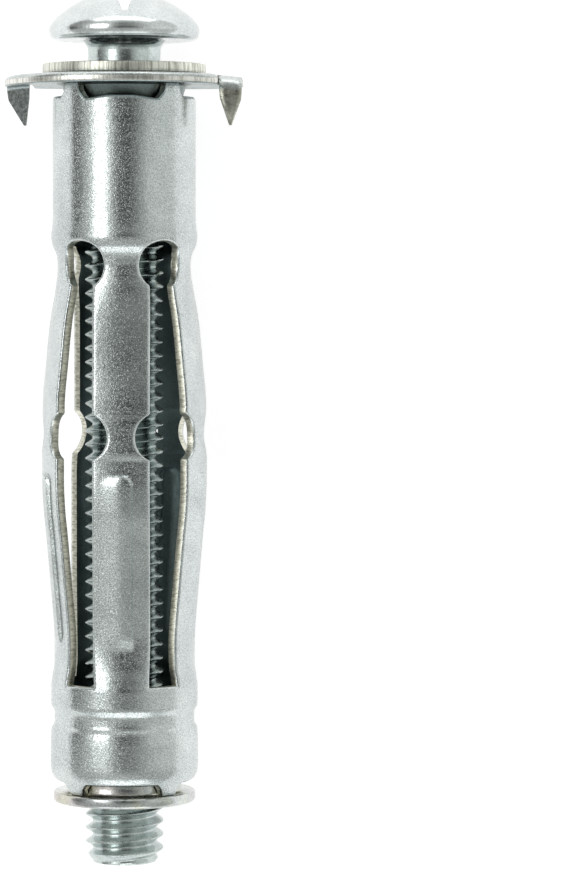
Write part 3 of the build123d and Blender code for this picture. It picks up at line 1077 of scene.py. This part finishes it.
# ---------------------------------------------------------------- claw plate
def build_plate():
    """Oval plate with a drooping rim, a pressed boss, and two claws that are
    folded down out of the rim, one at each side."""
    T = 0.5
    RX, RZ = 6.05, 5.10
    slit, fold = 4.77, 0.30
    a_in = atan2(fold, 4.84)
    a_out = atan2(fold, 5.98)
    a_full = atan2(fold, RX * sqrt(1 - (fold / RZ) ** 2))
    z_corner = RZ * sqrt(1 - (slit / RX) ** 2)
    a_corner = atan2(z_corner, slit)

    def ell(a):
        return 1.0 / sqrt((cos(a) / RX) ** 2 + (sin(a) / RZ) ** 2)

    # half a turn of outline points (angle from +X towards +Z, radius, tag)
    halfturn = []
    nf = 9
    for i in range(nf):                      # along the fold, outer to inner
        x = lerp(5.98, 4.84, i / (nf - 1))
        halfturn.append((atan2(fold, x), math.hypot(x, fold), "fold", i))
    halfturn.append((atan2(fold + 0.03, 4.785), math.hypot(4.785, fold + 0.03), "", 0))
    for i in range(1, 11):
        z = lerp(fold + 0.10, z_corner, (i - 1) / 10)
        halfturn.append((atan2(z, slit), math.hypot(z, slit), "", 0))
    halfturn.append((a_corner, ell(a_corner) - 0.004, "", 0))
    n_arc = 96
    a0 = a_corner
    for i in range(1, n_arc + 1):
        a = lerp(a0, pi + a_full - 0.0, i / (n_arc + 1))
        halfturn.append((a, ell(a), "", 0))
    halfturn.append((pi + a_full - 0.004, ell(pi + a_full) - 0.02, "", 0))
    pts = []
    for h in (0, 1):
        for (a, r, tag, i) in halfturn:
            pts.append((a + h * pi, r, tag, i))
    n = len(pts)
    steps = [0.0, 0.022, 0.06, 0.12, 0.22, 0.42, 0.75, 1.15]   # in from the rim
    hole = [3.45, 3.15, 2.9, 2.65, 2.5, 2.42, 2.37, 2.35]

    def droop(r, a):
        k = clamp((r - 3.6) / 2.4)
        return -0.16 * k * k

    top, bot, faces = [], [], []
    idx = {}
    for i, (a, r, tag, f) in enumerate(pts):
        rows = [r - s * (1 if r > 5.0 else 0.8) for s in steps] + hole
        for k, rr in enumerate(rows):
            d = r - rr
            y_t = T + droop(rr, a)
            y_b = droop(rr, a)
            if k < len(steps) and tag != "fold":
                y_t -= rolled(d, 0.24)
                y_b += rolled(d, 0.10)
            if rr < 3.3:
                # boss: the middle is pressed down into the tube
                s_ = smooth(3.3 - rr, 0.0, 0.75)
                y_t -= 0.62 * s_
                y_b -= 0.88 * smooth(3.3 - rr, 0.12, 0.26)
            x, z = rr * cos(a), rr * sin(a)
            idx[(i, k)] = len(top)
            top.append((x, y_t, z))
            bot.append((x, y_b, z))
    nk = len(steps) + len(hole)
    for i in range(n):
        j = (i + 1) % n
        for k in range(nk - 1):
            faces.append((idx[(i, k)], idx[(i, k + 1)], idx[(j, k + 1)], idx[(j, k)]))
    # claws
    for h in (0, 1):
        s = -1 if h else 1
        cols = [i for i in range(n) if pts[i][2] == "fold" and (pts[i][0] >= pi) == bool(h)]
        cols.sort(key=lambda i: pts[i][3])
        prev = [idx[(i, 0)] for i in cols]
        tip_in, tip_out = (5.34, 5.47) if not h else (5.00, 5.13)
        rib_ = T + 0.2                     # outside radius of the fold
        ys = []
        for k in range(1, 9):
            ang = k / 8 * pi / 2
            ys.append(("bend", ang))
        for k in range(1, 12):
            ys.append(("flap", k / 11))
        for kind, v in ys:
            row = []
            for ci, i in enumerate(cols):
                u = ci / (len(cols) - 1)           # 0 outer, 1 inner
                x0 = lerp(5.98, 4.84, u)
                base_y = droop(math.hypot(x0, fold), 0)
                if kind == "bend":
                    yt = base_y - 0.2 + rib_ * cos(v)
                    zt = fold + rib_ * sin(v)
                    yb = base_y - 0.2 + 0.2 * cos(v)
                    zb = fold + 0.2 * sin(v)
                    x = x0
                else:
                    # the flap narrows to its point with slightly bowed sides
                    vv = lerp(0.0, 0.07, v / 0.26) if v < 0.26 else lerp(0.07, 1.0, (v - 0.26) / 0.74)
                    xo = lerp(5.98, tip_out, vv)
                    xi = lerp(4.84, tip_in, vv)
                    x = lerp(xo, xi, u)
                    yy = lerp(base_y - 0.2, -2.09, v)
                    lean = 0.06 * v
                    thin = 0.10 * smooth(v, 0.55, 1.0)
                    yt = yb = yy
                    zt = fold + rib_ - lean - thin
                    zb = fold + 0.2 - lean
                # round the two long sides a little
                d = min(u, 1 - u) * 1.14
                if kind == "flap":
                    zt -= rolled(d * (1 - 0.8 * v), 0.10)
                else:
                    yt -= rolled(d, 0.10) * cos(v)
                    zt -= rolled(d, 0.10) * sin(v)
                row.append(len(top))
                top.append((s * x, yt, s * zt))
                bot.append((s * x, yb, s * zb))
            for c in range(len(cols) - 1):
                faces.append((prev[c], prev[c + 1], row[c + 1], row[c]))
            prev = row
    ob = sheet_solid("claw_plate_body", top, bot, faces,
                     [m_plate, m_plate_rim, m_underside_painted_shade, m_claw_partly_painted_shade, m_boss_painted_shade], 4, 0.012, 5.0, 2)
    weighted(ob, 40)
    for f in ob.data.polygons:
        c = f.center / MM
        # faces on the claws take the claw material, darker by painted shade
        if f.material_index == 0 and c.y < -0.28 and abs(c.x) > 4.6:
            f.material_index = 3
        # the boss's underside takes the dark painted shade
        elif f.material_index == 2 and math.hypot(c.x, c.z) < 3.3:
            f.material_index = 4
        # the claws' undersides keep the plate's finish; the rest of the underside keeps its painted shade
        elif f.material_index == 2 and c.y < -0.28 and abs(c.x) > 4.6:
            f.material_index = 0
    return ob


plate = build_plate()
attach(plate, "anchor")
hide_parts("claw_plate")


# ---------------------------------------------------------------- flange nut
def build_nut():
    prof = [(2.04, -36.45), (2.12, -36.535), (2.22, -36.55), (3.1, -36.55), (3.46, -36.545),
            (3.55, -36.52), (3.61, -36.46), (3.635, -36.36), (3.635, -36.16), (3.62, -36.06),
            (3.57, -36.01), (3.48, -36.0), (3.30, -36.0), (3.05, -35.99), (2.95, -35.94), (2.90, -35.84),
            (2.895, -35.6), (2.90, -34.5), (2.90, -33.3), (2.86, -33.1), (2.74, -33.0), (2.3, -33.0),
            (2.14, -33.02), (2.04, -33.15), (2.04, -34.6)]
    n = 144
    verts, faces = [], []
    m = len(prof)
    for i, a in enumerate(ring_angles(n)):
        for k, (r, y) in enumerate(prof):
            rr = r - (0.010 * (0.5 + 0.5 * wobble(i * 0.21, 9.0 + k * 0.02)) if r > 3.4 else 0)
            verts.append((rr * sin(a), y, rr * cos(a)))
    for i in range(n):
        j = (i + 1) % n
        for k in range(m):
            k2 = (k + 1) % m
            faces.append((i * m + k, i * m + k2, j * m + k2, j * m + k))
    ob = make_object("flange_nut_body", verts, faces, [m_nut])
    weighted(ob, 40)
    return ob


nut = build_nut()
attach(nut, "anchor")
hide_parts("flange_nut")


# ---------------------------------------------------------------- floor
SLOPE = -0.03833                 # the anchor rests on the plate's rim and the sleeve's foot
FLOOR_Y, FLOOR_Z = 0.07, -5.112
n_floor = Vector((0, -SLOPE, 1)).normalized()
n_view = Vector((0, 0.0486, 1)).normalized()   # nearly square to the floor


def floor_material():
    mat = bpy.data.materials.new("paper_floor")
    mat.use_nodes = True
    nt = mat.node_tree
    bsdf = nt.nodes["Principled BSDF"]
    bsdf.inputs["Roughness"].default_value = 0.9
    bsdf.inputs["Specular IOR Level"].default_value = 0.1
    tc = nt.nodes.new("ShaderNodeTexCoord")
    n = nt.nodes.new("ShaderNodeTexNoise")
    n.inputs["Scale"].default_value = 60.0
    nt.links.new(tc.outputs["Object"], n.inputs["Vector"])
    ramp = nt.nodes.new("ShaderNodeValToRGB")
    ramp.color_ramp.elements[0].color = (0.60, 0.60, 0.60, 1)
    ramp.color_ramp.elements[1].color = (0.63, 0.63, 0.63, 1)
    nt.links.new(n.outputs["Fac"], ramp.inputs["Fac"])
    nt.links.new(ramp.outputs["Color"], bsdf.inputs["Base Color"])
    bsdf.inputs["Emission Color"].default_value = (1, 1, 1, 1)
    bsdf.inputs["Emission Strength"].default_value = 0.68
    return mat


def build_floor():
    S = 900.0
    verts, faces = [], []
    N = 12
    ex = Vector((1, 0, 0))
    ey = n_floor.cross(ex).normalized()
    c = Vector((0, FLOOR_Y, FLOOR_Z))
    for i in range(N + 1):
        for j in range(N + 1):
            p = c + ex * (S * (i / N - 0.5)) + ey * (S * (j / N - 0.5))
            verts.append(tuple(p))
    for i in range(N):
        for j in range(N):
            a = i * (N + 1) + j
            faces.append((a, a + N + 1, a + N + 2, a + 1))
    return make_object("floor", verts, faces, [floor_material()])


floor = build_floor()

# ---------------------------------------------------------------- camera
DIST = 196.0
CX, CY = 8.50, -17.79            # where the optical axis meets the anchor's plane
ROLL = radians(0.10)
cam_data = bpy.data.cameras.new("camera")
cam = bpy.data.objects.new("camera", cam_data)
bpy.context.scene.collection.objects.link(cam)
cam_data.sensor_width = 36.0
cam_data.sensor_fit = "AUTO"
cam_data.lens = 18.0 / math.tan(radians(12.9) / 2)
cam_data.clip_start = 0.005
cam_data.clip_end = 10.0
view_dir = -n_view
right_ = Vector((1, 0, 0))
up_ = right_.cross(view_dir).normalized()
rot_m = Matrix((right_, up_, -view_dir)).transposed().to_4x4()
rot_m = rot_m @ Matrix.Rotation(ROLL, 4, "Z")
pos = Vector((CX, CY, 0)) * MM + n_view * DIST * MM
cam.matrix_world = Matrix.Translation(pos) @ rot_m
bpy.context.scene.camera = cam


# ---------------------------------------------------------------- light
def area(name, loc, target, size_x, size_y, power, colour=(1, 1, 1), long_axis=(0, 1, 0)):
    d = bpy.data.lights.new(name, "AREA")
    d.shape = "RECTANGLE"
    d.size = size_x
    d.size_y = size_y
    d.energy = power
    d.color = colour
    o = bpy.data.objects.new(name, d)
    bpy.context.scene.collection.objects.link(o)
    z = (Vector(loc) - Vector(target)).normalized()
    yv = Vector(long_axis)
    yv = (yv - z * yv.dot(z)).normalized()
    xv = yv.cross(z).normalized()
    o.matrix_world = Matrix.Translation(Vector(loc)) @ Matrix((xv, yv, z)).transposed().to_4x4()
    return o


def polar(deg, dist, y=-0.018):
    a = radians(deg)
    return (dist * sin(a), y, dist * cos(a))


TARGET = (0, -0.018, 0)
area("strip_left", polar(-37, 0.6, 0.12), TARGET, 0.25, 0.40, 0.70)
area("panel_head", (0.0, 0.70, 0.15), TARGET, 0.9, 0.30, 0.9, long_axis=(0, 0, 1))
area("panel_tip", (0.0, -0.66, 0.36), TARGET, 0.9, 0.36, 1.0, long_axis=(0, 0, 1))


def build_world():
    """Pale tent with a darker stretch overhead, fixed in the room."""
    w = bpy.data.worlds.new("studio")
    bpy.context.scene.world = w
    w.use_nodes = True
    nt = w.node_tree
    nt.nodes.clear()
    out = nt.nodes.new("ShaderNodeOutputWorld")
    bg = nt.nodes.new("ShaderNodeBackground")
    nt.links.new(bg.outputs[0], out.inputs[0])
    tc = nt.nodes.new("ShaderNodeTexCoord")
    sep = nt.nodes.new("ShaderNodeSeparateXYZ")
    nt.links.new(tc.outputs["Generated"], sep.inputs[0])
    at = nt.nodes.new("ShaderNodeMath")
    at.operation = "ARCTAN2"
    nt.links.new(sep.outputs["X"], at.inputs[0])
    nt.links.new(sep.outputs["Z"], at.inputs[1])
    mr = nt.nodes.new("ShaderNodeMapRange")
    mr.inputs["From Min"].default_value = -pi
    mr.inputs["From Max"].default_value = pi
    nt.links.new(at.outputs[0], mr.inputs["Value"])
    ramp = nt.nodes.new("ShaderNodeValToRGB")
    tones = [(-180, 0.80), (-132, 0.66), (-112, 0.40), (-97, 0.13), (-83, 0.10), (-71, 0.28),
             (-60, 0.64), (-48, 0.85), (-28, 0.88), (-20, 0.76), (-14, 0.38), (-6, 0.07),
             (2, 0.03), (11, 0.055), (20, 0.14), (30, 0.42), (40, 0.70), (50, 0.84), (61, 0.90),
             (85, 0.84), (99, 0.70), (180, 0.78)]
    stops = [(a, (v * 0.995, v * 1.02, v * 0.99)) for a, v in tones]
    els = ramp.color_ramp.elements
    els[0].position = 0.0
    els[0].color = (*stops[0][1], 1)
    els[1].position = 1.0
    els[1].color = (*stops[-1][1], 1)
    for deg, c in stops[1:-1]:
        e = els.new((deg + 180) / 360)
        e.color = (*c, 1)
    nt.links.new(mr.outputs[0], ramp.inputs["Fac"])
    # an even grey towards the tip's end, then lighter towards both ends of the axis
    mr2 = nt.nodes.new("ShaderNodeMapRange")
    mr2.inputs["From Min"].default_value = -1.0
    mr2.inputs["From Max"].default_value = 1.0
    nt.links.new(sep.outputs["Y"], mr2.inputs["Value"])
    along = nt.nodes.new("ShaderNodeValToRGB")
    ends = [(-1.0, 1.0), (-0.92, 1.0), (-0.72, 0.75), (-0.55, 0.2), (-0.42, 0.0), (0.50, 0.0),
            (0.74, 0.12), (0.88, 0.8), (0.96, 1.0), (1.0, 1.0)]
    evens = [(-1.0, 1.0), (-0.40, 0.94), (-0.22, 0.86), (-0.13, 0.55), (-0.05, 0.04), (0.05, 0.0),
             (0.20, 0.40), (0.50, 0.44), (1.0, 0.4)]
    even = nt.nodes.new("ShaderNodeValToRGB")
    for node, table in ((along, ends), (even, evens)):
        ae = node.color_ramp.elements
        for el, v in ((ae[0], table[0][1]), (ae[1], table[-1][1])):
            el.color = (v, v, v, 1)
        for yy, v in table[1:-1]:
            e = ae.new((yy + 1) / 2)
            e.color = (v, v, v, 1)
        nt.links.new(mr2.outputs[0], node.inputs["Fac"])
    grey = nt.nodes.new("ShaderNodeMix")
    grey.data_type = "RGBA"
    grey.inputs[7].default_value = (0.56, 0.575, 0.55, 1)
    nt.links.new(even.outputs["Color"], grey.inputs[0])
    nt.links.new(ramp.outputs["Color"], grey.inputs[6])
    mix = nt.nodes.new("ShaderNodeMix")
    mix.data_type = "RGBA"
    mix.inputs[7].default_value = (0.80, 0.83, 0.83, 1)
    nt.links.new(along.outputs["Color"], mix.inputs[0])
    nt.links.new(grey.outputs[2], mix.inputs[6])
    nt.links.new(mix.outputs[2], bg.inputs["Color"])
    bg.inputs["Strength"].default_value = 1.0


build_world()
sc = bpy.context.scene
sc.view_settings.view_transform = "Standard"
sc.view_settings.look = "None"
sc.view_settings.exposure = 0.0
sc.view_settings.gamma = 1.0
